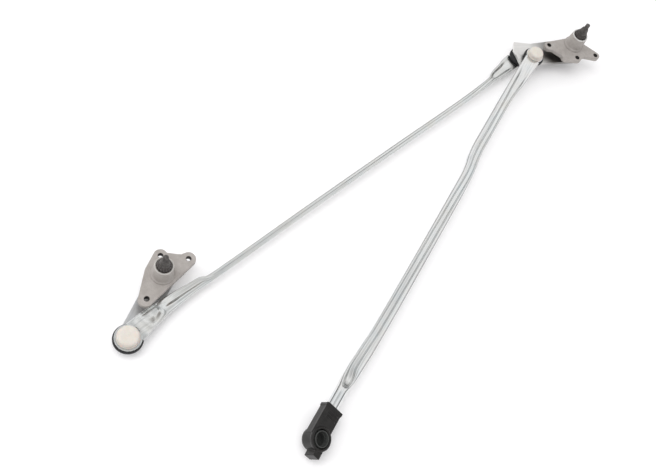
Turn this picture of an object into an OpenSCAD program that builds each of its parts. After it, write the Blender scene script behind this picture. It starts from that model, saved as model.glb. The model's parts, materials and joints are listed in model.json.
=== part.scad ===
// Wiper linkage: two spindle housings, two cranks, a long link rod and a motor drive rod.
// Units are millimetres. Z is up, the ground is Z = 0, the long rod runs along X.

/* [Layout] */
// Left spindle ahead of the middle of the assembly, along X
left_spindle_x = -307.2; // [-310:0.1:-304]
// Left spindle off the middle of the assembly, along Y
left_spindle_y = 119; // [115:0.1:121]
// Left crank: spindle axis to ball centre
left_crank_len = 80.3; // [78:0.1:86]
// Left crank direction seen from its spindle, degrees
left_crank_deg = 205.2; // [203:0.1:207]
// Long rod: ball centre to ball centre
long_rod_len = 687; // [670:1:700]
// Right crank: spindle axis to the long rod's ball
right_crank_len = 77; // [74:1:80]
// Right crank direction seen from its spindle, degrees
right_crank_deg = 150.5; // [148:0.5:152]
// Right crank: spindle axis to the drive rod's ball
drive_ball_len = 65.5; // [64:0.5:67]
// Direction of the drive ball seen from the right spindle, degrees
drive_ball_deg = 160.5; // [159:0.5:162]
// Drive rod: ball centre to motor ball centre
drive_rod_len = 638; // [630:1:645]
// Drive rod direction seen from its upper ball, degrees
drive_rod_deg = 198.3; // [196:0.1:201]

/* [Cranks] */
// Thickness of both crank plates
crank_t = 4; // [3.5:0.5:4.5]
// Underside of the left crank above the ground
left_crank_z = 3; // [3:0.5:4]
// Half width of the left crank at its spindle
left_crank_r1 = 14; // [13:0.5:15]
// Half width of the left crank at its ball
left_crank_r2 = 13; // [12:0.5:13.5]
// Radius of the right crank around its spindle
right_crank_r1 = 19.5; // [17:0.5:20]

/* [Housings] */
// Radius of the lower hub
hub_r = 12; // [11.5:0.5:13]
// Length of the left hub under its flange
left_hub_len = 9.8; // [9.6:0.1:10]
// Length of the right hub under its flange
right_hub_len = 5.8; // [5.6:0.1:6]
// Flange thickness
flange_t = 6; // [5.5:0.5:6]
// Radius of the flange around the spindle
flange_hub_r = 14.3; // [14.2:0.1:14.6]
// Radius of the short collar under each bolt hole
collar_r = 5; // [4.6:0.1:5.4]
// Height of the collar under each bolt hole
collar_h = 1; // [0.6:0.1:1]
// Radius of each bolt hole
bolt_r = 2.8; // [2.6:0.1:3.2]
// Height of the boss above the flange
boss_h = 22.5; // [21:0.5:24]
// Boss radius at its foot
boss_r1 = 12.4; // [12:0.1:12.8]
// Boss radius at its mouth
boss_r2 = 10.8; // [10.6:0.1:11.2]
// Radius of the step at the boss foot
boss_step_r = 13.7; // [13.2:0.1:14]
// Radius of the relief bore between the bushes
relief_r = 7.2; // [7:0.1:7.4]
// Radius of the recesses at both ends of the bore
recess_r = 9.2; // [9:0.1:9.4]
// Depth of the recesses at both ends of the bore
recess_h = 2; // [1.9:0.1:2.1]
// Length of the upper bush
upper_bush_len = 11.9; // [10:0.1:12.4]
// Length of the lower bush
lower_bush_len = 9.8; // [9:0.1:10.4]

/* [Spindles] */
// Spindle radius
shaft_r = 6; // [6:0.05:6.05]
// Radial running clearance in the bushes
bush_gap = 0.05; // [0.04:0.01:0.08]
// Outer radius of the bushes
bush_or = 8; // [7.8:0.1:8.2]
// Radius of the serrated cone at its foot
cone_r1 = 6.4; // [6.2:0.1:6.6]
// Radius of the serrated cone at its top
cone_r2 = 4.7; // [4.5:0.1:5]
// Number of serrations
serrations = 20; // [16:1:24]
// Outer radius of the M6 thread
thread_r = 3; // [2.9:0.05:3.05]
// Radius of the dust cap
cap_r = 8.7; // [8.5:0.1:8.8]

/* [Ball joints] */
// Radius of the crank balls
ball_r = 6.5; // [6.3:0.1:6.6]
// Gap between ball and socket
ball_gap = 0.3; // [0.25:0.05:0.35]
// Radius of the stud shank in the crank
shank_r = 5; // [4.8:0.1:5.2]
// Radius of the socket where it passes the rod eye
socket_r = 9; // [8.8:0.1:9.2]
// Radius of the left socket's dome
left_dome_r = 12.2; // [11.8:0.1:12.6]
// Radius of the dome on both right sockets
dome_r = 10.2; // [10:0.1:10.8]
// How far the socket rim stands out from the dome
rim_out = 0.9; // [0.8:0.1:1.2]
// Radius of the left boot
left_boot_r = 17; // [16.6:0.1:17.4]
// Radius of both right boots
boot_r = 14.4; // [14:0.1:14.6]
// Radius of the left rod eye
eye_r = 15.3; // [15:0.1:15.8]
// Radius of the rod eye under the right crank
link_eye_r = 13.4; // [13:0.1:13.8]
// Radius of the rod eye on the drive rod
drive_eye_r = 12.3; // [12.2:0.1:13]
// Thickness of the rod eyes
eye_t = 2.2; // [2:0.1:2.4]

/* [Rods] */
// Width of the long rod's body
long_w = 8.9; // [8.6:0.1:9.4]
// Height of the long rod's body
long_h = 7.2; // [6.8:0.1:7.4]
// Width of the drive rod's body
drive_w = 15.8; // [15:0.1:16.4]
// Height of the drive rod's body
drive_h = 8.5; // [8:0.1:9]
// Radius of the round tube end of the drive rod
tube_r = 7.1; // [6.9:0.1:7.3]

/* [Motor socket] */
// Side offset of the round tube end
tube_off = 6.4; // [6:0.1:6.8]
// Height of the motor ball centre
motor_z = 17.2; // [17.2:0.1:18]
// Lean of the socket about the rod, degrees
motor_lean = 28; // [24:1:30]
// Side offset of the socket's cup
head_off = 4; // [3.4:0.1:4.6]
// Pitch of the cup mouth away from the rod, degrees
head_pitch = -2; // [-4:1:4]
// Outer radius of the cup
cup_r = 13.4; // [13.3:0.1:14]
// Radius of the cup mouth
mouth_r = 10.4; // [10:0.1:10.8]
// Radius of the liner's ball seat
seat_r = 8; // [7.9:0.1:8.1]

/* [View] */
// Which sub-part to draw

/* [Hidden] */
$fn = 64;
// small overlap that joins touching solids
e = 0.01;
// how far a cutting cylinder starts outside the solid it cuts
cut = 1;
// plan positions
function pol(r, a) = [r * cos(a), r * sin(a)];
LP = [left_spindle_x, left_spindle_y];
LC = pol(left_crank_len, left_crank_deg);
LJ = LP + LC;
RJ = LJ + [long_rod_len, 0];
RP = RJ - pol(right_crank_len, right_crank_deg);
DJ = RP + pol(drive_ball_len, drive_ball_deg);
// levels
left_top = left_crank_z + crank_t;
right_bot = 17.5;
right_top = right_bot + crank_t;
// rod eye and ball centre above the crank face
ring_up = 8.5;
ball_up = 9;
hub_gap = 1.2;
left_foot = left_top + hub_gap;
right_foot = right_top + hub_gap;
left_flange = left_foot + left_hub_len;
right_flange = right_foot + right_hub_len;
left_mouth = left_flange + flange_t + boss_h;
right_mouth = right_flange + flange_t + boss_h;
// height of a rivet head on the right crank
rivet_h = 0.4;
// circlip underside below the boss mouth
clip_down = 1.7;
// radius of the circlip groove
clip_groove_r = 5.3;
// radius of the well that holds the liner, and of the collar on the liner
well_r = 9.6;
liner_r = 9.1;
// length and top height of the neck, and length of the band at its open end
neck_len = 38.4;
neck_top = 8.8;
neck_band = 3.4;
// spacing, width, length and height of the ribs on the neck
rib_step = 3.6;
rib_w = 1.5;
rib_len = 14;
rib_h = 0.8;
// gap drawn between pressed parts
press = 0.02;
// bolt holes [x, y], seen from each spindle
LEFT_HOLES = [[12.1, 18.7], [34.8, -2.9], [-31.9, -12.9]];
RIGHT_HOLES = [[-11.5, -18.5], [16.5, -31.8], [-32.4, 20.5]];
// round corners of each flange [x, y, radius], the last one is its hub
LEFT_CORNERS = [[12.1, 18.7, 8.1], [34.9, -2.9, 8.3], [-33.4, -12.7, 8.4], [-4, 4, 14.3],
  [0, 0, flange_hub_r]];
RIGHT_CORNERS = [[-11.5, -18.5, 6.2], [16.5, -31.8, 6.1], [-33.2, 19.8, 6.8], [3, -8.6, 13.8],
  [-24.6, -7.6, 6.8], [0, 0, flange_hub_r]];
// straight arms between two corners [corner, corner, half width, half width]
LEFT_ARMS = [[0, 3, 8.1, 14.3], [2, 3, 8.4, 14.3], [1, 2, 8.3, 8.4], [0, 1, 4.4, 4.4], [1, 4, 8.3, 14]];
RIGHT_ARMS = [[0, 4, 6.2, 6.8], [2, 4, 3.2, 3.2], [1, 3, 6.1, 13], [0, 3, 6.2, 13], [2, 5, 6.7, 13]];
// webs between the arms, each a list of corners
LEFT_WEBS = [[4, 0, 1]];
RIGHT_WEBS = [[5, 0, 1], [5, 2, 4, 0]];
// height of the step at the boss foot, of the cone above it and of both together
foot_step = 3;
foot_cone = 1.4;
foot_h = 4;
// bevel round the top of each bolt hole
bolt_bevel = 0.45;
// end play of the bushes in their bores
bush_play = 0.1;
// right crank outline, seen from the right spindle
RC1 = [-63, 57.3];
RC2 = [-74, 47.8];
RC3 = [-83.6, 25.2];
RC4 = [-43.3, 41.4];

ZINC = [0.8, 0.83, 0.84];
DARKZINC = [0.5, 0.53, 0.56];
CAST = [0.6, 0.58, 0.56];
CREAM = [0.93, 0.9, 0.83];
BLACK = [0.08, 0.08, 0.09];
BRONZE = [0.6, 0.45, 0.28];
STEEL = [0.35, 0.35, 0.36];

// how far a straight edge cuts inside the round end that it runs into
bite = 0.06;
// four corners of the band between two round ends
function band(c1, r1, c2, r2) = let(
  d = c2 - c1, a = atan2(d[1], d[0]), b = acos((r1 - r2) / norm(d)), s = r1 - bite, t = r2 - bite)
  [c1 + pol(s, a + b), c2 + pol(t, a + b), c2 + pol(t, a - b), c1 + pol(s, a - b)];
function middle(c) = [c[0], c[1]];
// the point where a line from p meets a disc about the origin
function touch(p, r, s) = pol(r - bite, atan2(p[1], p[0]) + s * acos(r / norm(p)));

module plate(z, t) {
  translate([0, 0, z]) linear_extrude(t) children();
}

// ---- swept rod section: flat or grooved tube, 12 points
function section(w, h, gw, gd) = let(c = min(h * 0.24, w * 0.24), k = gd * 0.35)
  [[-w / 2 + c, 0], [w / 2 - c, 0], [w / 2, c], [w / 2, h - c], [w / 2 - c, h],
   [gw / 2, h - gd * 0.05], [gw / 2 - k, h - gd], [-gw / 2 + k, h - gd],
   [-gw / 2, h - gd * 0.05], [-w / 2 + c, h], [-w / 2, h - c], [-w / 2, c]];
// stations are [x, y, bottom z, width, height, groove width, groove depth]
module sweep(st) {
  n = 12;
  m = len(st);
  pts = [for (i = [0:m - 1]) let(
    a = st[max(i - 1, 0)], b = st[min(i + 1, m - 1)],
    t = atan2(b[1] - a[1], b[0] - a[0]), q = st[i])
    for (p = section(q[3], q[4], q[5], q[6]))
      [q[0] - sin(t) * p[0], q[1] + cos(t) * p[0], q[2] + p[1]]];
  sides = [for (i = [0:m - 2]) for (j = [0:n - 1])
    [i * n + j, (i + 1) * n + j, (i + 1) * n + (j + 1) % n, i * n + (j + 1) % n]];
  first = [for (j = [0:n - 1]) j];
  last = [for (j = [0:n - 1]) (m - 1) * n + n - 1 - j];
  polyhedron(points = pts, faces = concat([first, last], sides), convexity = 6);
}

// ---- housing casting: zb is its foot, z the underside of its flange, zt its boss mouth
module housing(zb, z, holes, corners, arms, webs) {
  top = z + flange_t;
  zt = top + boss_h;
  difference() {
    union() {
      translate([0, 0, zb]) cylinder(r = hub_r, h = z - zb + flange_t);
      for (c = corners) translate([c[0], c[1], z]) cylinder(r = c[2], h = flange_t);
      for (a = arms) plate(z, flange_t)
        polygon(band(middle(corners[a[0]]), a[2], middle(corners[a[1]]), a[3]));
      for (w = webs) plate(z, flange_t) polygon([for (i = w) middle(corners[i])]);
      for (p = holes) translate([p[0], p[1], z - collar_h]) cylinder(r = collar_r, h = collar_h + e);
      translate([0, 0, top - e]) cylinder(r = boss_step_r, h = foot_step);
      translate([0, 0, top + foot_step - 2 * e])
        cylinder(r1 = boss_step_r - 0.4, r2 = boss_r1, h = foot_cone);
      translate([0, 0, top + foot_h]) cylinder(r1 = boss_r1, r2 = boss_r2, h = boss_h - foot_h);
    }
    translate([0, 0, zb - cut]) cylinder(r = relief_r, h = zt - zb + 2 * cut);
    translate([0, 0, zb - cut]) cylinder(r = recess_r, h = recess_h + cut);
    translate([0, 0, zb + recess_h - bush_play])
      cylinder(r = bush_or, h = lower_bush_len + 3 * bush_play);
    translate([0, 0, zt - recess_h - upper_bush_len - bush_play])
      cylinder(r = bush_or, h = upper_bush_len + 2 * bush_play);
    translate([0, 0, zt - recess_h]) cylinder(r = recess_r, h = recess_h + cut);
    for (p = holes) translate([p[0], p[1], z - collar_h - cut])
      cylinder(r = bolt_r, h = flange_t + collar_h + 2 * cut);
    for (p = holes) translate([p[0], p[1], top - bolt_bevel])
      cylinder(r1 = bolt_r, r2 = bolt_r + bolt_bevel, h = bolt_bevel + e);
  }
}
module bush(z, h) {
  difference() {
    translate([0, 0, z]) cylinder(r = bush_or - press / 2, h = h);
    translate([0, 0, z - cut]) cylinder(r = shaft_r + bush_gap, h = h + 2 * cut);
    translate([0, 0, z + h - 0.5]) cylinder(r1 = shaft_r + bush_gap, r2 = shaft_r + 0.7, h = 0.51);
  }
}
module ring(z, ri, ro, h) {
  translate([0, 0, z]) difference() {
    cylinder(r = ro, h = h);
    translate([0, 0, -1]) cylinder(r = ri, h = h + 2);
  }
}
module seal(foot) ring(foot + 0.3, shaft_r + 0.4, recess_r - press, 1.6);
module washer(z) ring(z, shaft_r + 0.3, 11, 0.8);
// circlip with open ends and two plier holes
module circlip(z) {
  t = 1.2;
  gap = 3.2;
  translate([0, 0, z]) difference() {
    cylinder(r = 8.1, h = t);
    translate([0, 0, -cut]) cylinder(r = clip_groove_r + press, h = t + 2 * cut);
    translate([4, -gap / 2, -cut]) cube([6, gap, t + 2 * cut]);
    for (s = [-1, 1]) translate([7.2, s * 2.9, -cut]) cylinder(r = 0.7, h = t + 2 * cut, $fn = 24);
  }
}
// dust cap, sits on the spindle above the boss mouth
module dust_cap(zt) {
  difference() {
    union() {
      translate([0, 0, zt - 0.4]) cylinder(r = cap_r, h = 3.2);
      translate([0, 0, zt + 2.79]) cylinder(r1 = cap_r, r2 = cap_r - 0.7, h = 0.71);
      translate([0, 0, zt + 3.49]) cylinder(r1 = cap_r - 1.1, r2 = cone_r1 + 0.9, h = 1.95);
    }
    translate([0, 0, zt - 2]) cylinder(r = shaft_r + press, h = 9);
  }
}
// thread profile as half section, z measured up from its foot
function thread_pts(r, pitch, n) = concat([[0, 0]],
  [for (i = [0:n - 1]) each [[r - 0.4, i * pitch], [r, (i + 0.25) * pitch],
    [r, (i + 0.75) * pitch]]],
  [[r - 0.4, n * pitch], [r - 1, n * pitch + 0.9], [0, n * pitch + 0.9]]);
// spindle: zb is the crank underside, zt the boss mouth
module spindle(zb, zt) {
  difference() {
    union() {
      translate([0, 0, zb]) cylinder(r = shaft_r, h = zt - zb + 5.5 + e);
      translate([0, 0, zb - 1.2]) cylinder(r = 8, h = 1.2);
      translate([0, 0, zb - 2.8]) cylinder(r1 = 6.4, r2 = 8, h = 1.61);
      difference() {
        translate([0, 0, zt + 5.49]) cylinder(r1 = cone_r1, r2 = cone_r2, h = 8.63);
        for (i = [0:serrations - 1]) rotate(i * 360 / serrations)
          translate([cone_r1 + 0.15, 0, zt + 9.8]) rotate([0, -11.2, 0])
            rotate(45) cube([0.9, 0.9, 12], center = true);
      }
      translate([0, 0, zt + 14.1]) rotate_extrude() polygon(thread_pts(thread_r, 1, 8));
    }
    ring(zt - clip_down - press, clip_groove_r, shaft_r + 1, 1.24);
  }
}
// ball stud, built pointing up from a crank face at z = 0, with a riveted head below
module stud(head) {
  low = -crank_t - head;
  ease = head * 0.5;
  rotate_extrude() polygon([[0, low], [6 - ease, low], [6, low + ease], [6, -crank_t],
    [shank_r, -crank_t], [shank_r, 0], [6.6, 0], [6.6, 1.1], [5.6, 1.5], [4, 1.7], [4, 5], [0, 5]]);
  translate([0, 0, ball_up]) sphere(r = ball_r);
}
// socket with dome radius r, its ring centre at ring_up above the crank face
module socket(r) {
  rim = r + rim_out;
  difference() {
    rotate_extrude() polygon([[0, 4.6], [7.6, 4.6], [9.5, 5.2], [9.5, 7], [socket_r, 7.4],
      [socket_r, 9.6], [rim, 9.6], [rim, 10.7], [rim - 0.5, 11.2], [r, 11.4],
      [r - 0.2, 15.2], [r - 1.1, 16.6], [r - 2.8, 17.3], [6, 17.5], [0, 17.5]]);
    translate([0, 0, ball_up]) sphere(r = ball_r + ball_gap);
    translate([0, 0, 3]) cylinder(r1 = 6.4, r2 = 4.6, h = 2.4);
  }
}
// rubber boot with outer radius r
module boot(r) {
  rotate_extrude() polygon([[9.55, 7.3], [r - 1.4, 7.3], [r - 0.4, 6.6], [r, 5], [r - 0.2, 3],
    [r - 1.4, 1.6], [r - 3.6, 0.5], [7.1, 0.5], [7.1, 1.7], [r - 4.4, 2.4], [r - 3.6, 4.6],
    [9.55, 5.8]]);
}
module eye_hole(z) {
  translate([0, 0, z - 3]) cylinder(r = socket_r + press, h = eye_t + 6);
}

// ---- right side
module right_housing() color(CAST) translate(RP)
  housing(right_foot, right_flange, RIGHT_HOLES, RIGHT_CORNERS, RIGHT_ARMS, RIGHT_WEBS);
module right_bush_upper() color(BRONZE) translate(RP)
  bush(right_mouth - recess_h - upper_bush_len, upper_bush_len);
module right_bush_lower() color(BRONZE) translate(RP)
  bush(right_foot + recess_h + bush_play, lower_bush_len);
module right_seal() color(BLACK) translate(RP) seal(right_foot);
module right_spindle() color(STEEL) translate(RP) spindle(right_bot, right_mouth);
module right_washer() color(ZINC) translate(RP) washer(right_top);
module right_circlip() color(STEEL) translate(RP) circlip(right_mouth - clip_down);
module right_dust_cap() color(BLACK) translate(RP) dust_cap(right_mouth);
module right_crank() color(ZINC) translate(RP) difference() {
  union() {
    translate([0, 0, right_bot]) cylinder(r = right_crank_r1, h = crank_t);
    plate(right_bot, crank_t) polygon([touch(RC4, right_crank_r1, -1), RC4, RC1, RC2, RC3,
      touch(RC3, right_crank_r1, 1), [0, 0]]);
  }
  translate([0, 0, right_bot - 1]) cylinder(r = shaft_r + press, h = crank_t + 2);
  translate(pol(right_crank_len, right_crank_deg)) translate([0, 0, right_bot - 1])
    cylinder(r = shank_r + press, h = crank_t + 2);
  translate(pol(drive_ball_len, drive_ball_deg)) translate([0, 0, right_bot - 1])
    cylinder(r = shank_r + press, h = crank_t + 2);
}
module right_link_stud() color(STEEL) translate([RJ[0], RJ[1], right_bot])
  mirror([0, 0, 1]) stud(rivet_h);
module drive_stud() color(STEEL) translate([DJ[0], DJ[1], right_top]) stud(rivet_h);

// ---- left side
module left_housing() color(CAST) translate(LP)
  housing(left_foot, left_flange, LEFT_HOLES, LEFT_CORNERS, LEFT_ARMS, LEFT_WEBS);
module left_bush_upper() color(BRONZE) translate(LP)
  bush(left_mouth - recess_h - upper_bush_len, upper_bush_len);
module left_bush_lower() color(BRONZE) translate(LP)
  bush(left_foot + recess_h + bush_play, lower_bush_len);
module left_seal() color(BLACK) translate(LP) seal(left_foot);
module left_spindle() color(STEEL) translate(LP) spindle(left_crank_z, left_mouth);
module left_washer() color(ZINC) translate(LP) washer(left_top);
module left_circlip() color(STEEL) translate(LP) circlip(left_mouth - clip_down);
module left_dust_cap() color(BLACK) translate(LP) dust_cap(left_mouth);
module left_crank() color(DARKZINC) translate(LP) difference() {
  union() {
    translate([0, 0, left_crank_z]) cylinder(r = left_crank_r1, h = crank_t);
    translate([LC[0], LC[1], left_crank_z]) cylinder(r = left_crank_r2, h = crank_t);
    plate(left_crank_z, crank_t) polygon(band([0, 0], left_crank_r1, LC, left_crank_r2));
  }
  translate([0, 0, left_crank_z - 1]) cylinder(r = shaft_r + press, h = crank_t + 2);
  translate([LC[0], LC[1], left_crank_z - 1]) cylinder(r = shank_r + press, h = crank_t + 2);
}
module left_stud() color(STEEL) translate([LJ[0], LJ[1], left_top]) stud(left_crank_z);

// ---- long rod and its two sockets
module long_rod() color(ZINC) difference() {
  union() {
    translate([LJ[0], LJ[1], left_top + ring_up - eye_t / 2]) cylinder(r = eye_r, h = eye_t);
    translate([RJ[0], RJ[1], right_bot - ring_up - eye_t / 2]) cylinder(r = link_eye_r, h = eye_t);
    sweep(concat(
      [for (q = [[0, 0, 14.4, 26, 2.2, 8, 0.1], [16, 1.8, 14.4, 25, 2.2, 11, 0.2],
        [26, 3.3, 13.4, 23.6, 3.2, 13, 1.6], [36, 3.8, 11.2, 22, 5, 12, 3.4],
        [45, 4.3, 9.4, 20.2, 6.4, 9, 3], [54, 5, 8.3, 18.2, 7, 5, 0.8],
        [68, 5.2, 7.9, 17, 7.2, 6, 2.4], [82, 4.9, 7.8, 15.2, long_h, 6, 2.8],
        [95, 4.3, 7.8, 13.4, long_h, 5.4, 2.8], [106, 3.6, 7.8, 12.6, long_h, 5, 2.6],
        [113, 1.6, 7.8, 9.6, long_h, 3.8, 2.2], [125, 1.3, 7.8, long_w, long_h, 3.6, 2]])
        [LJ[0] + q[0], LJ[1] + q[1], q[2], q[3], q[4], q[5], q[6]]],
      [for (q = [[-430, -1, 7.8, long_w, long_h, 3.6, 2],
        [-250, -3.2, 7.8, long_w, long_h, 3.6, 2], [-120, -4.6, 7.8, long_w, long_h, 3.6, 2],
        [-85, -4.2, 7.6, 9.2, 7.2, 4, 2], [-66, -3.4, 7.4, 9.8, 7.2, 4, 2],
        [-57, -1.9, 7.2, 14.4, 7, 7, 3], [-36, -0.6, 7.2, 18.6, 5.8, 9, 3],
        [-22, 0.6, 7.6, 21.4, 3.4, 10, 1.2], [-14, 1.1, 7.9, 23, 2.2, 10, 0.2],
        [0, 1.4, 7.9, 22, 2.2, 8, 0.1]])
        [RJ[0] + q[0], RJ[1] + q[1], q[2], q[3], q[4], q[5], q[6]]]));
  }
  translate(LJ) eye_hole(left_top + ring_up);
  translate(RJ) eye_hole(right_bot - ring_up - 2);
}
module left_socket() color(CREAM) translate([LJ[0], LJ[1], left_top]) socket(left_dome_r);
module left_boot() color(BLACK) translate([LJ[0], LJ[1], left_top]) boot(left_boot_r);
module right_link_socket() color(CREAM) translate([RJ[0], RJ[1], right_bot])
  mirror([0, 0, 1]) socket(dome_r);
module right_link_boot() color(BLACK) translate([RJ[0], RJ[1], right_bot])
  mirror([0, 0, 1]) boot(boot_r);

// ---- drive rod and its sockets, built along +X from the upper ball and turned into place
module on_drive() {
  translate(DJ) rotate(drive_rod_deg) children();
}
module drive_rod() color(ZINC) on_drive() difference() {
  union() {
    translate([0, 0, right_top + ring_up - eye_t / 2]) cylinder(r = drive_eye_r, h = eye_t);
    sweep([[0, 0, 28.9, 21, 2.2, 8, 0.1], [14, -0.1, 28.9, 21, 2.2, 10, 0.2],
      [24, -0.8, 28.6, 20.6, 3, 12, 1.4], [36, -1.4, 26.6, 20.2, 5, 11, 3.4],
      [60, -3, 23.6, 19.2, 7.6, 10, 5], [76, -4.3, 22.2, 17.2, 8.2, 9, 5.4],
      [95, -5, 21.2, 16, drive_h, 8.4, 5.4], [130, -5.4, 20.2, drive_w, drive_h, 8, 5.4],
      [186, -5.6, 18.8, 16.2, drive_h, 8, 5.4], [204, -4.6, 17.6, 16.2, drive_h, 8, 5.4],
      [222, -1.6, 16.2, 15, drive_h, 8, 5.4], [236, -0.6, 15.4, 14.6, drive_h, 8, 5.4],
      [270, -0.4, 14.6, drive_w, drive_h, 8, 5.4], [400, -1, 13, drive_w, drive_h, 8, 5.4],
      [490, -2.1, 12.2, 16, drive_h, 8, 5.2], [520, -3.6, 12, 17, 8.6, 8.4, 5],
      [543, -5, 11.7, 18.4, 9, 9, 4.6], [560, -6, 11, 18, 10.4, 8, 3],
      [573, -6.3, 10.6, 15.8, 12.4, 5, 0.8], [580, -6.4, 10.5, 13.6, 13, 3, 0.1]]);
    translate([573, -tube_off, motor_z]) rotate([0, 90, 0]) cylinder(r = tube_r, h = 47);
  }
  eye_hole(right_top + ring_up);
  translate([576, -tube_off, motor_z]) rotate([0, 90, 0]) cylinder(r = tube_r - 1.5, h = 60);
}
module drive_socket() color(CREAM) translate([DJ[0], DJ[1], right_top]) socket(dome_r);
module drive_boot() color(BLACK) translate([DJ[0], DJ[1], right_top]) boot(boot_r);

// motor socket neck frame: X along the rod, Z leaned, origin beside the ball centre
module at_neck() {
  on_drive() translate([drive_rod_len, -tube_off, motor_z]) rotate([-motor_lean, 0, 0]) children();
}
// motor socket cup frame: ball centre at the origin, mouth along Z
module at_head() {
  on_drive() translate([drive_rod_len, -head_off, motor_z]) rotate([-motor_lean, 0, 0])
    rotate([0, head_pitch, 0]) children();
}
// neck section [across, up], flat on top and rounded off below
NECK = [[-8, -8.6], [8, -8.6], [11, -5], [12, 3], [12, 6], [10.2, neck_top], [-10.8, neck_top],
  [-11.8, 7], [-11.4, 4], [-11, -5]];
// neck from its open end to the cup centre, with a band round the open end and ribs on top
module neck() {
  translate([-neck_len, 0, 0]) rotate([90, 0, 90]) linear_extrude(neck_len) polygon(NECK);
  translate([-neck_len, 0, 0]) rotate([90, 0, 90]) linear_extrude(neck_band)
    polygon([for (p = NECK) p * 1.06]);
  for (i = [0:2]) translate([-32 + i * rib_step, -rib_len / 2, neck_top - cut])
    cube([rib_w, rib_len, cut + rib_h]);
}
// bottom and mouth of the cup, measured from the ball centre
cup_low = -11.4;
cup_top = 9.4;
// corner and size of the grip lip at the end of the cup
LIP_AT = [9, 0.7, -8];
LIP_SIZE = [10.4, 9, 16];
module motor_socket() color(BLACK) difference() {
  union() {
    at_neck() neck();
    at_head() rotate_extrude() polygon([[0, cup_low], [10.4, cup_low], [12.2, -10.4], [12.8, -8],
      [cup_r - 0.6, 5], [cup_r, 6.2], [cup_r, 8.6], [cup_r - 0.7, cup_top],
      [mouth_r + 0.8, cup_top], [mouth_r, 8.6], [mouth_r, 0], [0, 0]]);
    at_head() translate(LIP_AT) cube(LIP_SIZE);
  }
  at_head() translate([0, 0, -7.5]) cylinder(r = well_r, h = 30);
  at_head() translate([0, 0, 2]) cylinder(r = mouth_r, h = 20);
  at_neck() translate([-60, 0, 0]) rotate([0, 90, 0]) cylinder(r = tube_r + press, h = 43);
}
// ball seat, with a thin collar that stands up in the cup mouth
module motor_liner() color(BLACK) at_head() difference() {
  union() {
    translate([0, 0, -7.4]) cylinder(r = well_r - press, h = 11);
    translate([0, 0, 2.2]) cylinder(r = mouth_r - 0.2, h = 1.6);
    translate([0, 0, 3.7]) cylinder(r = liner_r, h = cup_top - 3.3);
  }
  sphere(r = seat_r);
  translate([0, 0, 1.5]) cylinder(r = seat_r - 0.35, h = 20);
  translate([0, 0, 4]) cylinder(r = liner_r - 0.8, h = 20);
}

right_housing();
right_bush_upper();
right_bush_lower();
right_seal();
right_spindle();
right_crank();
right_washer();
right_circlip();
right_dust_cap();
right_link_stud();
drive_stud();
left_housing();
left_bush_upper();
left_bush_lower();
left_seal();
left_spindle();
left_crank();
left_washer();
left_circlip();
left_dust_cap();
left_stud();
long_rod();
left_socket();
left_boot();
right_link_socket();
right_link_boot();
drive_rod();
drive_socket();
drive_boot();
motor_socket();
motor_liner();
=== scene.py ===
"""Looks of the wiper linkage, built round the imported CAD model. Metres, Z up, ground at Z = 0."""

import json
import math

import bmesh
import bpy
import numpy as np
from mathutils import Matrix, Vector


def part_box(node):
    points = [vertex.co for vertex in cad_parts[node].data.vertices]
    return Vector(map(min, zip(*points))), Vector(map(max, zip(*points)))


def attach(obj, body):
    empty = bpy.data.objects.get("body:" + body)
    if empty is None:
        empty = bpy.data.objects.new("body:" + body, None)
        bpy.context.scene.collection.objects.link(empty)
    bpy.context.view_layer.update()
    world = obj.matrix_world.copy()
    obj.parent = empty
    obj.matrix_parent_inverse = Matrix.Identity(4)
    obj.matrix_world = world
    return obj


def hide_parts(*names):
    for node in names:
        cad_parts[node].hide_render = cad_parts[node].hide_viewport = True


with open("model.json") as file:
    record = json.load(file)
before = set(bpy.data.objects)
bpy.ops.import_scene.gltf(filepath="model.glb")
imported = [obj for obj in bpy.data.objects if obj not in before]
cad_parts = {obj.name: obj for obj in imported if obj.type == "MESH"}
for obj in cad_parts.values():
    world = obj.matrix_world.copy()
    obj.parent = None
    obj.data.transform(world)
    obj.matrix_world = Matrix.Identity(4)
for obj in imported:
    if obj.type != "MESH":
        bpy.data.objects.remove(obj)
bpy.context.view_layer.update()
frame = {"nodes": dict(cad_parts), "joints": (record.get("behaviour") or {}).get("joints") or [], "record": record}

MM = 0.001
NODES = frame["nodes"]
JOINT_AT = {j["name"]: Vector(j["pos_m"]) for j in frame["joints"]}
MOUNT = {m["name"]: m for m in frame["record"]["mounts"]}
BODY_OF = {n: b for b, names in frame["record"]["behaviour"]["bodies"].items() for n in names}
SLOT_OF = {s["node"]: s["material_slot"] for s in frame["record"]["subparts"]}

RIGHT_PIVOT = JOINT_AT["right_pivot"]
LEFT_BALL = JOINT_AT["link_joint_left"]
RIGHT_BALL = JOINT_AT["link_joint_right"]
DRIVE_BALL = JOINT_AT["drive_joint"]
MOUTH = MOUNT["motor_ball_socket"]
# lengths below are in mm: the ball lies under the socket's mouth, the cup's centre beside the
# drive rod's line, and each rod eye's middle above its crank's face
BALL_DEPTH = 2.6
HEAD_OFF = 4.0
EYE_UP = 8.5
MOTOR_BALL = Vector(MOUTH["pos_m"]) - Vector(MOUTH["axis"]) * BALL_DEPTH * MM

# radii of the domes, boots and rod eyes: left joint, right link joint, drive joint
LEFT_DOME_R, LEFT_BOOT_R, LEFT_EYE_R = 12.2, 17.0, 15.3
RIGHT_DOME_R, RIGHT_BOOT_R, RIGHT_EYE_R = 10.2, 14.4, 13.4
DRIVE_EYE_R = 12.3

# spindle above the boss mouth: where the serrated cone starts and ends, then the thread
CONE_FOOT, CONE_LEN, CONE_TOP = 5.3, 8.8, 14.1
THREAD_LEN, SPINDLE_TIP = 8.9, 23.0
THREAD_R = 3.0
SHAFT_SIDES = 144

# the drawn streaks run along each rod and each crank, so their noise is turned to match
LINK_TURN, LEFT_CRANK_TURN, RIGHT_CRANK_TURN = 0.0, -0.45, 0.52

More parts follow.
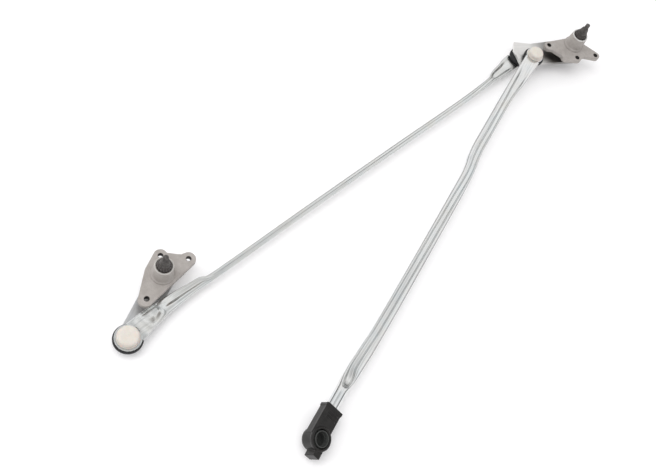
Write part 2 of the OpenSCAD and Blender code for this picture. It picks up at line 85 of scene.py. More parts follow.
# bolt hole walls carry painted shade from the axis out to here, in metres, and fade into the skin
HOLE_SHADE_R, HOLE_EDGE_R = 0.0030, 0.0034
# the machined mouth is this deep a band under the top of the boss, in metres; its light colour is partly machined
# metal and partly a painted highlight
MOUTH_FROM, MOUTH_TO = 0.0010, 0.0006
# the right crank's plate carries painted shade, for the flange's shadow, out to the first distance from its
# spindle, and is bright at the second
PLATE_SHADE_R, PLATE_SHADE_END_R = 0.036, 0.062


def z_top(node):
    """Height of the top of a CAD node."""
    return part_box(node)[1].z


def z_low(node):
    """Height of the underside of a CAD node."""
    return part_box(node)[0].z


# ---------------------------------------------------------------- materials
class Nodes:
    """A small builder of node trees for one Principled material."""

    def __init__(self, name):
        self.mat = bpy.data.materials.new(name)
        self.mat.use_nodes = True
        self.tree = self.mat.node_tree
        self.tree.nodes.clear()
        self.out = self.add("ShaderNodeOutputMaterial")
        self.bsdf = self.add("ShaderNodeBsdfPrincipled")
        self.link(self.bsdf.outputs[0], self.out.inputs[0])
        self.coord = self.add("ShaderNodeTexCoord").outputs["Object"]

    def add(self, kind, **settings):
        node = self.tree.nodes.new(kind)
        for key, value in settings.items():
            setattr(node, key, value)
        return node

    def link(self, a, b):
        self.tree.links.new(a, b)

    def stretch(self, scale, turn=0.0):
        """Object coordinates turned about Z, then scaled."""
        turned = self.add("ShaderNodeMapping", vector_type="POINT")
        turned.inputs["Rotation"].default_value = (0, 0, turn)
        self.link(self.coord, turned.inputs["Vector"])
        scaled = self.add("ShaderNodeMapping", vector_type="POINT")
        scaled.inputs["Scale"].default_value = scale
        self.link(turned.outputs[0], scaled.inputs["Vector"])
        return scaled.outputs[0]

    def noise(self, vector, scale, detail=4.0, rough=0.55):
        node = self.add("ShaderNodeTexNoise")
        node.inputs["Scale"].default_value = scale
        node.inputs["Detail"].default_value = detail
        node.inputs["Roughness"].default_value = rough
        self.link(vector, node.inputs["Vector"])
        return node.outputs["Fac"]

    def ramp(self, fac, stops):
        node = self.add("ShaderNodeValToRGB")
        cr = node.color_ramp
        while len(cr.elements) < len(stops):
            cr.elements.new(0.5)
        for el, (at, col) in zip(cr.elements, stops):
            el.position = at
            el.color = (*col, 1)
        self.link(fac, node.inputs["Fac"])
        return node.outputs["Color"]

    def spread(self, fac, low, high, start=0.3, end=0.7):
        node = self.add("ShaderNodeMapRange")
        for key, value in (("From Min", start), ("From Max", end), ("To Min", low), ("To Max", high)):
            node.inputs[key].default_value = value
        self.link(fac, node.inputs["Value"])
        return node.outputs["Result"]

    def mix(self, fac, a, b, kind="MIX"):
        node = self.add("ShaderNodeMix", data_type="RGBA", blend_type=kind)
        if isinstance(fac, float):
            node.inputs[0].default_value = fac
        else:
            self.link(fac, node.inputs[0])
        for socket, value in ((node.inputs[6], a), (node.inputs[7], b)):
            if isinstance(value, tuple):
                socket.default_value = (*value, 1)
            else:
                self.link(value, socket)
        return node.outputs[2]

    def bump(self, height, strength, distance):
        node = self.add("ShaderNodeBump")
        node.inputs["Strength"].default_value = strength
        node.inputs["Distance"].default_value = distance
        self.link(height, node.inputs["Height"])
        self.link(node.outputs[0], self.bsdf.inputs["Normal"])

    def set(self, **values):
        for key, value in values.items():
            self.bsdf.inputs[key.replace("_", " ")].default_value = value


def zinc(name, dark, light, turn, rough):
    """Bright zinc plate: long drawn streaks, cloudy passivation and fine scratches."""
    n = Nodes(name)
    drawn = n.noise(n.stretch((14, 420, 420), turn), 1.0, 5.0, 0.6)
    cloud = n.noise(n.stretch((1, 1, 1)), 55.0, 4.0, 0.6)
    fine = n.noise(n.stretch((60, 1600, 1600), turn), 1.0, 3.0, 0.6)
    streaks = n.ramp(drawn, ((0.28, dark), (0.52, light), (0.75, light)))
    tint = n.ramp(cloud, ((0.3, (0.95, 0.98, 1.0)), (0.55, (1, 1, 1)), (0.75, (1.0, 0.985, 0.96))))
    n.link(n.mix(1.0, streaks, tint, "MULTIPLY"), n.bsdf.inputs["Base Color"])
    n.link(n.spread(cloud, rough - 0.04, rough + 0.08), n.bsdf.inputs["Roughness"])
    n.bump(fine, 0.03, 0.0002)
    n.set(Metallic=1.0)
    return n.mat


def cast(name, housing, rim_and_highlight):
    """Die-cast housing: warm grey blasted skin, painted shade in the bolt holes, and a bright machined mouth whose
    light band is partly a painted highlight.
    """
    n = Nodes(name)
    grain = n.noise(n.stretch((1, 1, 1)), 1400.0, 3.0, 0.65)
    cloud = n.noise(n.stretch((1, 1, 1)), 90.0, 4.0, 0.6)
    base = n.ramp(cloud, ((0.3, (0.43, 0.40, 0.375)), (0.7, (0.53, 0.50, 0.475))))
    speck = n.ramp(grain, ((0.3, (0.78, 0.77, 0.76)), (0.6, (1, 1, 1))))
    skin = n.mix(1.0, base, speck, "MULTIPLY")
    for mount in MOUNT.values():
        if "_bolt_" in mount["name"]:
            near = n.add("ShaderNodeVectorMath", operation="DISTANCE")
            flat = n.add("ShaderNodeVectorMath", operation="MULTIPLY")
            flat.inputs[1].default_value = (1, 1, 0)
            n.link(n.coord, flat.inputs[0])
            n.link(flat.outputs[0], near.inputs[0])
            near.inputs[1].default_value = (mount["pos_m"][0], mount["pos_m"][1], 0)
            # painted shade: each bolt hole is coloured near black where shade falls inside it
            hole_shade = n.spread(near.outputs["Value"], 1.0, 0.0, HOLE_SHADE_R, HOLE_EDGE_R)
            skin = n.mix(hole_shade, skin, (0.03, 0.027, 0.025))
    height = n.add("ShaderNodeSeparateXYZ")
    n.link(n.coord, height.inputs[0])
    top = z_top(housing)
    # the mouth's light band: partly machined metal, partly a painted highlight
    mouth = n.spread(height.outputs["Z"], 0.0, 1.0, top - MOUTH_FROM, top - MOUTH_TO)
    n.link(n.mix(mouth, skin, rim_and_highlight), n.bsdf.inputs["Base Color"])
    n.link(n.spread(grain, 0.5, 0.68), n.bsdf.inputs["Roughness"])
    n.bump(grain, 0.35, 0.0004)
    n.set(Metallic=0.35)
    return n.mat


def moulded(name, dark, light, rough, grain_scale, coat=0.0, sss=0.0, specular=0.5):
    """Moulded plastic or rubber: cloudy tone and a fine tool grain."""
    n = Nodes(name)
    cloud = n.noise(n.stretch((1, 1, 1)), 120.0, 4.0, 0.6)
    grain = n.noise(n.stretch((1, 1, 1)), grain_scale, 3.0, 0.6)
    n.link(n.ramp(cloud, ((0.3, dark), (0.7, light))), n.bsdf.inputs["Base Color"])
    n.link(n.spread(grain, rough - 0.08, rough + 0.1), n.bsdf.inputs["Roughness"])
    n.bump(grain, 0.25, 0.00025)
    n.set(Coat_Weight=coat, Coat_Roughness=0.25, Specular_IOR_Level=specular)
    if sss:
        n.set(Subsurface_Weight=sss, Subsurface_Scale=0.002)
    return n.mat


def plain_metal(name, dark, light, rough, metallic=1.0):
    """Turned or stamped metal with mottled tone."""
    n = Nodes(name)
    cloud = n.noise(n.stretch((1, 1, 1)), 300.0, 4.0, 0.65)
    fine = n.noise(n.stretch((1, 1, 5)), 900.0, 3.0, 0.6)
    n.link(n.ramp(cloud, ((0.3, dark), (0.7, light))), n.bsdf.inputs["Base Color"])
    n.link(n.spread(fine, rough - 0.08, rough + 0.12), n.bsdf.inputs["Roughness"])
    n.bump(fine, 0.15, 0.0002)
    n.set(Metallic=metallic)
    return n.mat


def plate_with_painted_shade(name):
    """Zinc plate of the right crank: bright at its free corner, with painted shade making it dark towards its
    spindle, under the flange.
    """
    n = Nodes(name)
    drawn = n.noise(n.stretch((14, 420, 420), RIGHT_CRANK_TURN), 1.0, 5.0, 0.6)
    cloud = n.noise(n.stretch((1, 1, 1)), 55.0, 4.0, 0.6)
    near = n.add("ShaderNodeVectorMath", operation="DISTANCE")
    near.inputs[1].default_value = (RIGHT_PIVOT.x, RIGHT_PIVOT.y, z_top("right_crank"))
    n.link(n.coord, near.inputs[0])
    bright = n.ramp(drawn, ((0.3, (0.72, 0.71, 0.69)), (0.7, (0.84, 0.83, 0.81))))
    # painted shade: the plate's dark colour near its spindle stands for the flange's shadow
    painted_shade = n.ramp(cloud, ((0.3, (0.20, 0.195, 0.19)), (0.7, (0.28, 0.275, 0.265))))
    reach = n.spread(near.outputs["Value"], 0.0, 1.0, PLATE_SHADE_R, PLATE_SHADE_END_R)
    n.link(n.mix(reach, painted_shade, bright), n.bsdf.inputs["Base Color"])
    n.link(n.spread(cloud, 0.3, 0.42), n.bsdf.inputs["Roughness"])
    n.bump(drawn, 0.06, 0.0002)
    n.set(Metallic=1.0)
    return n.mat


drive_span = (MOTOR_BALL - DRIVE_BALL).to_2d()
DRIVE_TURN = math.atan2(drive_span.y, drive_span.x) + math.asin(HEAD_OFF * MM / drive_span.length)
MATS = {
    "rod_zinc": zinc("rod_zinc", (0.64, 0.65, 0.64), (0.76, 0.77, 0.755), LINK_TURN, 0.19),
    "drive_zinc": zinc("drive_zinc", (0.66, 0.665, 0.66), (0.79, 0.795, 0.785), -DRIVE_TURN, 0.17),
    "crank_zinc": zinc("crank_zinc", (0.58, 0.59, 0.60), (0.70, 0.71, 0.715), LEFT_CRANK_TURN, 0.36),
    "zinc_plate": plate_with_painted_shade("zinc_plate"),
    # the mouth colours are partly a painted highlight, set brighter on the right housing
    "cast_left": cast("cast_left", "left_housing", (0.58, 0.56, 0.53)),
    "cast_right": cast("cast_right", "right_housing", (0.72, 0.71, 0.69)),
    "bronze": plain_metal("bronze", (0.30, 0.19, 0.10), (0.52, 0.37, 0.20), 0.4),
    "dark_steel": plain_metal("dark_steel", (0.07, 0.066, 0.064), (0.19, 0.18, 0.172), 0.4, 0.85),
    "cap_black": moulded("cap_black", (0.035, 0.03, 0.028), (0.075, 0.066, 0.062), 0.45, 1500.0),
    "seal_rubber": moulded("seal_rubber", (0.01, 0.01, 0.011), (0.022, 0.022, 0.023), 0.6, 1800.0),
    "cream_nylon": moulded("cream_nylon", (0.64, 0.595, 0.535), (0.72, 0.68, 0.62), 0.4, 900.0, 0.1, 0.15),
    "socket_black": moulded("socket_black", (0.007, 0.0066, 0.0063), (0.018, 0.0165, 0.015), 0.34, 1300.0,
                            specular=0.4),
    "liner_black": moulded("liner_black", (0.04, 0.042, 0.04), (0.075, 0.078, 0.075), 0.3, 900.0),
}


# ---------------------------------------------------------------- mesh tools
def new_object(name, verts, faces, smooth_deg=35.0):
    """A mesh object with outward normals, smooth across edges flatter than smooth_deg."""
    mesh = bpy.data.meshes.new(name)
    mesh.from_pydata([tuple(v) for v in verts], [], faces)
    bm = bmesh.new()
    bm.from_mesh(mesh)
    bmesh.ops.recalc_face_normals(bm, faces=bm.faces)
    bm.to_mesh(mesh)
    bm.free()
    obj = bpy.data.objects.new(name, mesh)
    bpy.context.scene.collection.objects.link(obj)
    shade(obj, smooth_deg)
    return obj


def shade(obj, smooth_deg):
    """Smooth shading, with edges steeper than smooth_deg kept sharp."""
    bpy.context.view_layer.objects.active = obj
    for o in bpy.context.selected_objects:
        o.select_set(False)
    obj.select_set(True)
    bpy.ops.object.shade_smooth_by_angle(angle=math.radians(smooth_deg))
    obj.select_set(False)


def finish_piece(obj, body, slot, *nodes, mat=None):
    """Material, body, material slot and the CAD nodes the piece stands for."""
    obj.data.materials.clear()
    obj.data.materials.append(MATS[mat or slot])
    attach(obj, body)
    if nodes:
        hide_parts(*nodes)
    return obj


def loft(rings, closed=False):
    """Vertices and faces of a skin over equal rings, capped at both ends unless closed."""
    count = len(rings[0])
    verts = [p for ring in rings for p in ring]
    faces = []
    last = len(rings) if closed else len(rings) - 1
    for i in range(last):
        a, b = i * count, (i + 1) % len(rings) * count
        for j in range(count):
            k = (j + 1) % count
            faces.append((a + j, b + j, b + k, a + k))
    if not closed:
        faces.append(tuple(range(count)))
        faces.append(tuple(reversed(range(len(verts) - count, len(verts)))))
    return verts, faces


def rounded(points, radius, steps=4):
    """A closed outline with each corner rounded by up to radius."""
    out = []
    n = len(points)
    for i, p in enumerate(points):
        p = Vector(p)
        a, b = Vector(points[i - 1]) - p, Vector(points[(i + 1) % n]) - p
        r = min(radius, a.length * 0.45, b.length * 0.45)
        start, end = p + a.normalized() * r, p + b.normalized() * r
        for s in range(steps + 1):
            t = s / steps
            out.append(start * (1 - t) ** 2 + p * 2 * t * (1 - t) + end * t ** 2)
    return out


def ring_skin(outline, place, around=96, radius=0.4):
    """Skin of a ring or knob: the closed (r, z) outline in mm, r > 0, turned about place's Z."""
    pts = rounded(outline, radius)
    rings = []
    for i in range(around):
        a = 2 * math.pi * i / around
        rings.append([place @ Vector((p.x * math.cos(a) * MM, p.x * math.sin(a) * MM, p.y * MM))
                      for p in pts])
    return loft(rings, closed=True)


def lathe(name, outline, place, radius):
    """One turned object from a closed half section."""
    return new_object(name, *ring_skin(outline, place, radius=radius))


def upright(at, z, flip=False):
    """Frame standing at a point's X and Y and at height z, or hanging from it."""
    m = Matrix.Translation((at.x, at.y, z))
    if flip:
        m = m @ Matrix.Rotation(math.pi, 4, "X")
    return m


def hermite(xs, ys, x):
    """Smooth curve through (xs, ys) that doesn't overshoot (monotone cubic)."""
    xs, ys = np.array(xs, float), np.array(ys, float)
    h, d = np.diff(xs), np.diff(ys) / np.diff(xs)
    m = np.zeros_like(ys)
    m[0], m[-1] = d[0], d[-1]
    for i in range(1, len(xs) - 1):
        if d[i - 1] * d[i] > 0:
            w1, w2 = 2 * h[i] + h[i - 1], h[i] + 2 * h[i - 1]
            m[i] = (w1 + w2) / (w1 / d[i - 1] + w2 / d[i])
    i = np.clip(np.searchsorted(xs, x) - 1, 0, len(h) - 1)
    t = (x - xs[i]) / h[i]
    return ((2 * t ** 3 - 3 * t ** 2 + 1) * ys[i] + (t ** 3 - 2 * t ** 2 + t) * h[i] * m[i]
            + (-2 * t ** 3 + 3 * t ** 2) * ys[i + 1] + (t ** 3 - t ** 2) * h[i] * m[i + 1])


# points across the top and the underside of one rod section
TOP_POINTS = 44
LOW_POINTS = 16
# a plain stretch of rod this long, in mm, is cut into coarser steps
LONG_STRETCH, LONG_STEP = 90, 12


def rod_section(w, h, groove_w, groove_d, groove_at, square):
    """One closed section in mm: rounded tube pressed in from above, height from 0 to h."""
    pts = []
    for i in range(TOP_POINTS):
        phi = math.pi * i / (TOP_POINTS - 1)
        a = -math.cos(phi)
        edge = max(0.0, 1 - abs(a) ** square) ** (1 / square)
        top = h * 0.5 + h * 0.5 * edge
        side = a * w / 2
        dip = 1 / (1 + abs((side - groove_at) / (groove_w / 2)) ** 6)
        pts.append((side, top - groove_d * dip * edge))
    for i in range(1, LOW_POINTS - 1):
        phi = math.pi * i / (LOW_POINTS - 1)
        a = math.cos(phi)
        edge = max(0.0, 1 - abs(a) ** square) ** (1 / square)
        pts.append((a * w / 2, h * 0.5 - h * 0.5 * edge))
    return pts


def rod_mesh(origin, turn, stations, press=None, step=2.0):
    """Loft through stations (s, off, z0, w, h, groove_w, groove_d, groove_at, square), in mm.

    s runs along the rod from origin, off is to its left, z0 is the underside's height.
    press(s, side, a) is a further depth the section is squeezed by, a is -1 to 1 across the rod."""
    table = np.array(stations, float)
    s_all = []
    for a, b in zip(table[:-1, 0], table[1:, 0]):
        n = max(2, int(math.ceil(abs(b - a) / (step if b - a < LONG_STRETCH else LONG_STEP))))
        s_all += [a + (b - a) * i / n for i in range(n)]
    s_all = np.array(s_all + [table[-1, 0]])
    cols = [hermite(table[:, 0], table[:, k], s_all) for k in range(1, table.shape[1])]
    rot = Matrix.Rotation(turn, 3, "Z")
    rings = []
    for i, s in enumerate(s_all):
        off, z0, w, h, gw, gd, ga, sq = (c[i] for c in cols)
        j0, j1 = max(i - 1, 0), min(i + 1, len(s_all) - 1)
        slope = (cols[0][j1] - cols[0][j0]) / (s_all[j1] - s_all[j0])
        t = Vector((1, slope, 0)).normalized()
        ring = []
        for a, b in rod_section(w, h, gw, gd, ga, sq):
            if press:
                b *= 1 - press(s, off + a, a / (w / 2)) / h
            p = Vector((s - t.y * a, off + t.x * a, 0)) * MM
            ring.append(rot @ p + Vector((origin.x, origin.y, (z0 + b) * MM)))
        rings.append(ring)
    return loft(rings)


def join_parts(name, parts, smooth_deg=35.0):
    """One object from several closed skins."""
    verts, faces = [], []
    for v, f in parts:
        base = len(verts)
        verts += list(v)
        faces += [tuple(base + i for i in face) for face in f]
    return new_object(name, verts, faces, smooth_deg)


def softened(node, voxel, rounds, name):
    """A copy of a CAD node with its edges rounded the way a casting or moulding is."""
    source = NODES[node]
    obj = bpy.data.objects.new(name, source.data.copy())
    bpy.context.scene.collection.objects.link(obj)
    remesh = obj.modifiers.new("remesh", "REMESH")
    remesh.mode = "VOXEL"
    remesh.voxel_size = voxel * MM
    smooth = obj.modifiers.new("smooth", "LAPLACIANSMOOTH")
    smooth.iterations = rounds
    smooth.lambda_factor = 0.4
    smooth.use_volume_preserve = True
    bpy.context.view_layer.objects.active = obj
    obj.select_set(True)
    bpy.ops.object.modifier_apply(modifier="remesh")
    bpy.ops.object.modifier_apply(modifier="smooth")
    obj.select_set(False)
    shade(obj, 60)
    return obj


# ---------------------------------------------------------------- pieces
def socket_outline(r):
    """Half section of a cream socket whose dome has radius r."""
    return [(5.3, 4.7), (7.6, 4.6), (9.5, 5.2), (9.5, 7.0), (9.0, 7.4), (9.0, 9.6), (r + 0.9, 9.6),
            (r + 0.9, 10.8), (r + 0.35, 11.3), (r + 0.1, 10.9), (r, 12.0), (r - 0.1, 14.8),
            (r - 0.9, 16.5), (r - 2.7, 17.2), (4.5, 17.45), (0.02, 17.5), (0.02, 15.9), (3.6, 15.0),
            (6.3, 11.6), (6.8, 9.0)]


def boot_outline(r):
    """Half section of a rubber boot with outer radius r: two soft folds."""
    return [(9.6, 7.25), (r - 1.4, 7.3), (r - 0.3, 6.5), (r, 5.2), (r - 0.5, 4.2), (r - 0.1, 3.2),
            (r - 1.2, 1.7), (r - 3.4, 0.55), (7.1, 0.5), (7.1, 1.7), (r - 4.2, 2.4), (r - 3.6, 4.6),
            (9.6, 5.8)]


def build_sockets():
    """Cream sockets with their domes, and the rubber boots under them."""
    left = upright(LEFT_BALL, z_top("left_crank"))
    drive = upright(DRIVE_BALL, z_top("right_crank"))
    lower = upright(RIGHT_BALL, z_low("right_crank"), flip=True)
    for node, boot, body, place, dome_r, boot_r in (
            ("left_socket", "left_boot", "link_rod_set", left, LEFT_DOME_R, LEFT_BOOT_R),
            ("right_link_socket", "right_link_boot", "link_rod_set", lower, RIGHT_DOME_R, RIGHT_BOOT_R),
            ("drive_socket", "drive_boot", "drive_rod_set", drive, RIGHT_DOME_R, RIGHT_BOOT_R)):
        dome = lathe(node + "_dome", socket_outline(dome_r), place, radius=0.7)
        finish_piece(dome, body, "cream_nylon", node)
        cover = lathe(boot + "_bellows", boot_outline(boot_r), place, radius=0.7)
        finish_piece(cover, body, "seal_rubber", boot)


def eye_outline(outer, thick=2.2):
    """Rod eye seen in half section: a flat ring with eased edges."""
    half = thick / 2
    return [(9.0, -half), (outer - 0.3, -half), (outer, 0.3 - half), (outer, half - 0.3),
            (outer - 0.3, half), (9.0, half)]


def ease(x):
    """Smooth step from 0 to 1."""
    x = min(1.0, max(0.0, x))
    return x * x * (3 - 2 * x)


def spoon(s, side, a):
    """Depth pressed into the long rod beside its left eye.

    The floor sinks slowly from the eye towards the far rim, and a slope closes it that runs
    slantwise across the rod."""
    sunk = 0.8 * ease((s - 15) / 9) + 3.0 * ease((s - 24) / 15) * ease((side + 10) / 15)
    across = (s - 27.6) * 0.657 - (side + 7.0) * 0.754
    rise = max(ease(across / 12), ease((s - 45.5) / 3.5))
    return sunk * (1 - rise) * ease((0.88 - a) / 0.12)


def build_long_rod():
    """Long rod: left spoon, pressed neck, grooved tube and right eye."""
    span = (RIGHT_BALL - LEFT_BALL).x / MM
    body = rod_mesh(LEFT_BALL, 0.0, [
        (9.2, 1.0, 14.4, 27, 2.2, 12, 0, 0, 8), (17, 1.9, 14.0, 25.4, 2.6, 14, 0, 0, 8),
        (26, 3.3, 12.4, 23.6, 4.2, 13, 0, 0, 6), (34, 3.8, 10.8, 22.2, 5.7, 12, 0, 0, 5),
        (44, 4.3, 9.4, 20.2, 6.9, 8, 0, 1, 4), (51, 4.8, 8.7, 18.8, 7.4, 7, 0, 2, 3.6),
        (60, 5.1, 8.2, 18.0, 7.4, 7, 1.6, 2.6, 3.4), (68, 5.2, 7.9, 17, 7.3, 7.4, 2.6, 2.6, 3.4),
        (82, 4.9, 7.8, 15.2, 7.2, 6.8, 2.8, 2.4, 3.4), (95, 4.3, 7.8, 13.4, 7.2, 6, 2.7, 2.0, 3.2),
        (106, 3.7, 7.8, 12.7, 7.2, 5.4, 2.5, 1.8, 3), (112, 1.7, 7.8, 9.7, 7.2, 4, 2.0, 0.6, 2.8),
        (122, 1.2, 7.8, 8.9, 7.2, 3.2, 1.4, -1.2, 2.5), (260, 0.2, 7.8, 8.9, 7.2, 3.0, 1.3, -1.7, 2.4),
        (440, -2.4, 7.8, 8.9, 7.2, 3.0, 1.3, -1.7, 2.4),
        (span - 120, -4.6, 7.8, 8.9, 7.2, 3.0, 1.4, -1.4, 2.4),
        (span - 85, -4.2, 7.6, 9.2, 7.2, 3.6, 1.8, -0.6, 2.6),
        (span - 65, -3.3, 7.4, 9.8, 7.2, 4.4, 2.4, 0, 2.8),
        (span - 57, -1.9, 7.2, 14.2, 7.0, 8, 3.4, 0, 3.4), (span - 36, -0.6, 7.2, 18.6, 5.8, 11, 3.2, 0, 4),
        (span - 22, 0.6, 7.6, 21.4, 3.6, 13, 1.3, 0, 4.5), (span - 9.2, 1.2, 7.9, 23, 2.2, 12, 0, 0, 5)],
        press=spoon)
    z_left = z_top("left_crank") + EYE_UP * MM
    z_right = z_low("right_crank") - EYE_UP * MM
    eye_l = ring_skin(eye_outline(LEFT_EYE_R), upright(LEFT_BALL, z_left))
    eye_r = ring_skin(eye_outline(RIGHT_EYE_R), upright(RIGHT_BALL, z_right))
    obj = join_parts("long_rod_tube", [body, eye_l, eye_r], 40)
    finish_piece(obj, "link_rod_set", "rod_zinc", "long_rod")


def build_drive_rod():
    """Drive rod: flat eye, two side bends, groove and the round end in the motor socket."""
    body = rod_mesh(DRIVE_BALL, DRIVE_TURN, [
        (9.2, 0, 28.9, 21.5, 2.2, 10, 0, 0, 5), (20, -0.5, 28.8, 21, 2.4, 12, 0.3, 0, 5),
        (30, -1.2, 27.8, 20.6, 3.8, 12, 1.4, 0, 4), (44, -2, 25.6, 20.2, 6, 11, 2.6, 1, 3.6),
        (62, -3, 23.4, 19, 7.6, 9.6, 3.6, 1.6, 3.4), (78, -4.3, 22.2, 17, 8.2, 8, 4.2, 2.2, 3.2),
        (95, -5, 21.2, 16, 8.5, 6.6, 4.6, 2.6, 3), (130, -5.4, 20.2, 15.8, 8.5, 6, 4.8, 2.8, 3),
        (186, -5.6, 18.8, 16.2, 8.5, 6, 4.8, 2.8, 3), (204, -4.4, 17.6, 16, 8.5, 6, 4.8, 2.6, 3),
        (222, -1.8, 16.2, 15, 8.5, 5.6, 4.6, 2.2, 3), (238, -0.7, 15.4, 14.8, 8.5, 5.6, 4.6, 1.8, 3),
        (270, -0.4, 14.6, 15.6, 8.5, 6, 4.6, 0.6, 2.8), (400, -1, 13.0, 15.8, 8.5, 6.2, 4.2, -1.4, 2.6),
        (490, -2.1, 12.2, 16, 8.5, 6.2, 4.0, -2.4, 2.6), (522, -3.6, 12.0, 17.2, 8.6, 6.2, 3.8, -3, 2.6),
        (544, -4.9, 11.7, 17.4, 9.0, 6.6, 4.2, -2.6, 2.6),
        (558, -5.35, 11.2, 16.8, 10.0, 8.6, 5.0, -0.2, 2.4),
        (567, -5.9, 10.7, 15.6, 12.0, 7.6, 3.8, 0.6, 2.2),
        (574, -6.3, 10.3, 14.6, 13.7, 5, 0.6, 0.6, 2.05),
        (580, -6.4, 10.1, 14.2, 14.2, 5, 0, 0.3, 2), (619, -6.4, 10.1, 14.2, 14.2, 5, 0, 0, 2)])
    eye = ring_skin(eye_outline(DRIVE_EYE_R), upright(DRIVE_BALL, z_top("right_crank") + EYE_UP * MM))
    obj = join_parts("drive_rod_tube", [body, eye], 40)
    finish_piece(obj, "drive_rod_set", "rod_zinc", "drive_rod", mat="drive_zinc")


def spindle_radius(z, angle, teeth=20):
    """Radius in mm of the spindle above the boss mouth: dust shoulder, serrated cone, M6 thread."""
    if z < CONE_FOOT:
        return 6.0
    if z < CONE_TOP:
        t = (z - CONE_FOOT) / (CONE_TOP - CONE_FOOT)
        ridge = abs(((angle * teeth / (2 * math.pi)) % 1) * 2 - 1)
        depth = 0.7 * min(1, t * 6, (1 - t) * 6)
        return 6.4 + (4.7 - 6.4) * t - depth * ridge
    turns = (z - CONE_TOP) - angle / (2 * math.pi)
    wave = abs((turns % 1) * 2 - 1)
    fade = min(1, (z - CONE_TOP) / 0.8, max(0.0, SPINDLE_TIP - 0.9 - z) / 0.6)
    body = THREAD_R if z < SPINDLE_TIP - 0.9 else THREAD_R - (z - SPINDLE_TIP + 0.9) * 1.1
    return body - 0.42 * wave * fade


def build_spindle(node, body):
    """Spindle: plain shaft from the CAD levels, with cut serrations and a helical thread."""
    low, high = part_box(node)
    at = (low + high) / 2
    mouth = high.z - SPINDLE_TIP * MM
    levels = [(6.2, low.z), (6.5, low.z + 0.1 * MM), (7.9, low.z + 1.4 * MM), (8.0, low.z + 1.7 * MM),
              (8.0, low.z + 2.7 * MM), (7.9, low.z + 2.8 * MM), (6.0, low.z + 2.81 * MM),
              (6.0, mouth - 1.75 * MM), (5.3, mouth - 1.74 * MM), (5.3, mouth - 0.5 * MM),
              (6.0, mouth - 0.49 * MM)]
    around = SHAFT_SIDES
    rings = []
    for r, z in levels:
        rings.append([Vector((at.x + r * MM * math.cos(2 * math.pi * i / around),
                              at.y + r * MM * math.sin(2 * math.pi * i / around), z)) for i in range(around)])
    z_list = [0.5, 3, 5.29]
    z_list += [CONE_FOOT + CONE_LEN * i / 14 for i in range(15)]
    z_list += [CONE_TOP + THREAD_LEN * i / 80 for i in range(1, 81)]
    for z in z_list:
        ring = []
        for i in range(around):
            a = 2 * math.pi * i / around
            r = spindle_radius(z, a) * MM
            ring.append(Vector((at.x + r * math.cos(a), at.y + r * math.sin(a), mouth + z * MM)))
        rings.append(ring)
    verts, faces = loft(rings)
    obj = new_object(node + "_shaft", verts, faces, 30)
    finish_piece(obj, body, "dark_steel", node)


def build_dust_caps(ribs=16):
    """Ribbed dust caps pressed on the spindles above the boss mouths."""
    for node, body in (("left_dust_cap", "left_crank_set"), ("right_dust_cap", "right_crank_set")):
        low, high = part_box(node)
        at = (low + high) / 2
        tall = (high.z - low.z) / MM
        outer = (high.x - low.x) / 2 / MM
        pts = rounded([(6.02, 0.02), (outer - 0.3, 0.0), (outer - 0.02, 0.4), (outer - 0.1, 2.2),
                       (7.9, 3.9), (7.3, tall - 0.2), (6.9, tall), (6.02, tall)], 0.25)
        around = ribs * 8
        rings = []
        for i in range(around):
            a = 2 * math.pi * i / around
            notch = 0.95 * (0.5 - 0.5 * math.cos(a * ribs)) ** 2
            ring = []
            for p in pts:
                r = max(p.x - notch, 6.1) if p.x > 6.3 else p.x
                ring.append(Vector((at.x + r * math.cos(a) * MM, at.y + r * math.sin(a) * MM,
                                    low.z + p.y * MM)))
            rings.append(ring)
        cap = new_object(node + "_ribbed", *loft(rings, closed=True), 30)
        finish_piece(cap, body, "cap_black", node)


def build_castings():
    """Both housings and the motor socket, copied from the CAD with rounded edges."""
    for node, look in (("left_housing", "cast_left"), ("right_housing", "cast_right")):
        obj = softened(node, 0.5, 4, node + "_casting")
        finish_piece(obj, BODY_OF[node], "cast_grey", node, mat=look)
    cup = softened("motor_socket", 0.45, 4, "motor_socket_moulding")
    finish_piece(cup, "drive_rod_set", "socket_black", "motor_socket")


def dress_cad_nodes():
    """The CAD nodes that stay visible: eased edges and their material."""
    for node, obj in NODES.items():
        slot = SLOT_OF[node]
        if slot not in MATS:
            continue
        obj.data.materials.clear()
        obj.data.materials.append(MATS[slot])
        bevel = obj.modifiers.new("eased edges", "BEVEL")
        bevel.width = (0.4 if "crank" in node else 0.2) * MM
        bevel.segments = 2
        bevel.limit_method = "ANGLE"
        bevel.angle_limit = math.radians(40)
        bevel.harden_normals = False
        shade(obj, 40)


# ---------------------------------------------------------------- stage
def build_stage():
    """A plain white floor with a faint glow of its own."""
    half = 6.0
    floor = new_object("floor", [(-half, -half, 0), (half, -half, 0), (half, half, 0), (-half, half, 0)],
                       [(0, 1, 2, 3)])
    n = Nodes("floor_white")
    cloud = n.noise(n.stretch((1, 1, 1)), 6.0, 2.0, 0.5)
    white = n.ramp(cloud, ((0.3, (0.90, 0.895, 0.90)), (0.7, (0.93, 0.925, 0.93))))
    n.link(white, n.bsdf.inputs["Base Color"])
    n.link(n.spread(cloud, 0.5, 0.6), n.bsdf.inputs["Roughness"])
    n.set(Emission_Color=(1, 1, 1, 1), Emission_Strength=0.10)
    floor.data.materials.append(n.mat)


def area_light(name, at, aim, size, power):
    """A white rectangular soft box that surfaces don't mirror."""
    data = bpy.data.lights.new(name, "AREA")
    data.shape = "RECTANGLE"
    data.size, data.size_y = size
    data.energy = power
    obj = bpy.data.objects.new(name, data)
    bpy.context.scene.collection.objects.link(obj)
    obj.location = at
    obj.rotation_euler = (Vector(aim) - Vector(at)).to_track_quat("-Z", "Y").to_euler()
    obj.visible_glossy = False


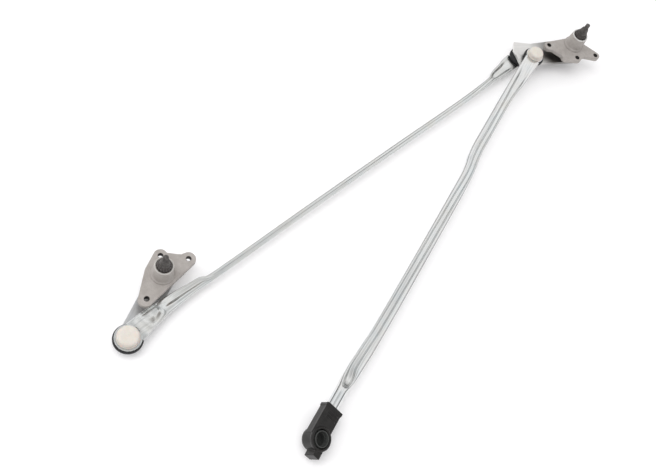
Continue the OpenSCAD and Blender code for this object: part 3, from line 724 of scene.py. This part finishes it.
def build_lights():
    """A white room: dim at the horizon and below, brightest about 50 degrees up, dimmer overhead."""
    world = bpy.data.worlds.new("studio")
    bpy.context.scene.world = world
    world.use_nodes = True
    tree = world.node_tree
    back = tree.nodes["Background"]
    # brightness by the height of a direction: 0 at the horizon, 1 straight up
    coord = tree.nodes.new("ShaderNodeTexCoord")
    lean = tree.nodes.new("ShaderNodeVectorMath")
    lean.operation = "DOT_PRODUCT"
    lean.inputs[1].default_value = (0.0, 0.0, 1.0)
    ramp = tree.nodes.new("ShaderNodeValToRGB")
    stops = ((0.0, 0.10), (0.16, 0.14), (0.33, 0.42), (0.5, 0.84), (0.76, 0.95), (0.87, 0.86), (0.95, 0.52),
             (1.0, 0.42))
    while len(ramp.color_ramp.elements) < len(stops):
        ramp.color_ramp.elements.new(0.5)
    for el, (at, level) in zip(ramp.color_ramp.elements, stops):
        el.position = at
        el.color = (level, level * 0.995, level, 1)
    tree.links.new(coord.outputs["Generated"], lean.inputs[0])
    tree.links.new(lean.outputs["Value"], ramp.inputs["Fac"])
    tree.links.new(ramp.outputs["Color"], back.inputs["Color"])
    back.inputs["Strength"].default_value = 1.09
    area_light("softbox_top", (-0.6, 0.4, 2.4), (0, 0, 0), (1.6, 1.6), 22)
    area_light("softbox_side", (-1.6, 1.4, 1.5), (0, 0, 0), (1.4, 1.0), 10)


def build_camera():
    """50 mm lens, above the motor end, leaning so that the long rod rises to the right."""
    eye = Vector((LEFT_BALL.x, LEFT_BALL.y, 0)) + Vector((-0.24254, -0.23532, 0.96166))
    forward = Vector((0.46376, 0.17763, -0.86797)).normalized()
    right = Vector((0.70839, -0.66272, 0.24287))
    right = (right - forward * right.dot(forward)).normalized()
    up = right.cross(forward)
    data = bpy.data.cameras.new("camera")
    data.sensor_fit = "HORIZONTAL"
    data.sensor_width = 36.0
    data.lens = 50.0
    data.clip_start = 0.01
    data.clip_end = 50.0
    cam = bpy.data.objects.new("camera", data)
    bpy.context.scene.collection.objects.link(cam)
    cam.matrix_world = Matrix.Translation(eye) @ Matrix((right, up, -forward)).transposed().to_4x4()
    bpy.context.scene.camera = cam
    bpy.context.scene.view_settings.view_transform = "Standard"


build_camera()
dress_cad_nodes()
build_sockets()
build_long_rod()
build_drive_rod()
build_spindle("left_spindle", "left_crank_set")
build_spindle("right_spindle", "right_crank_set")
build_dust_caps()
build_castings()
build_stage()
build_lights()
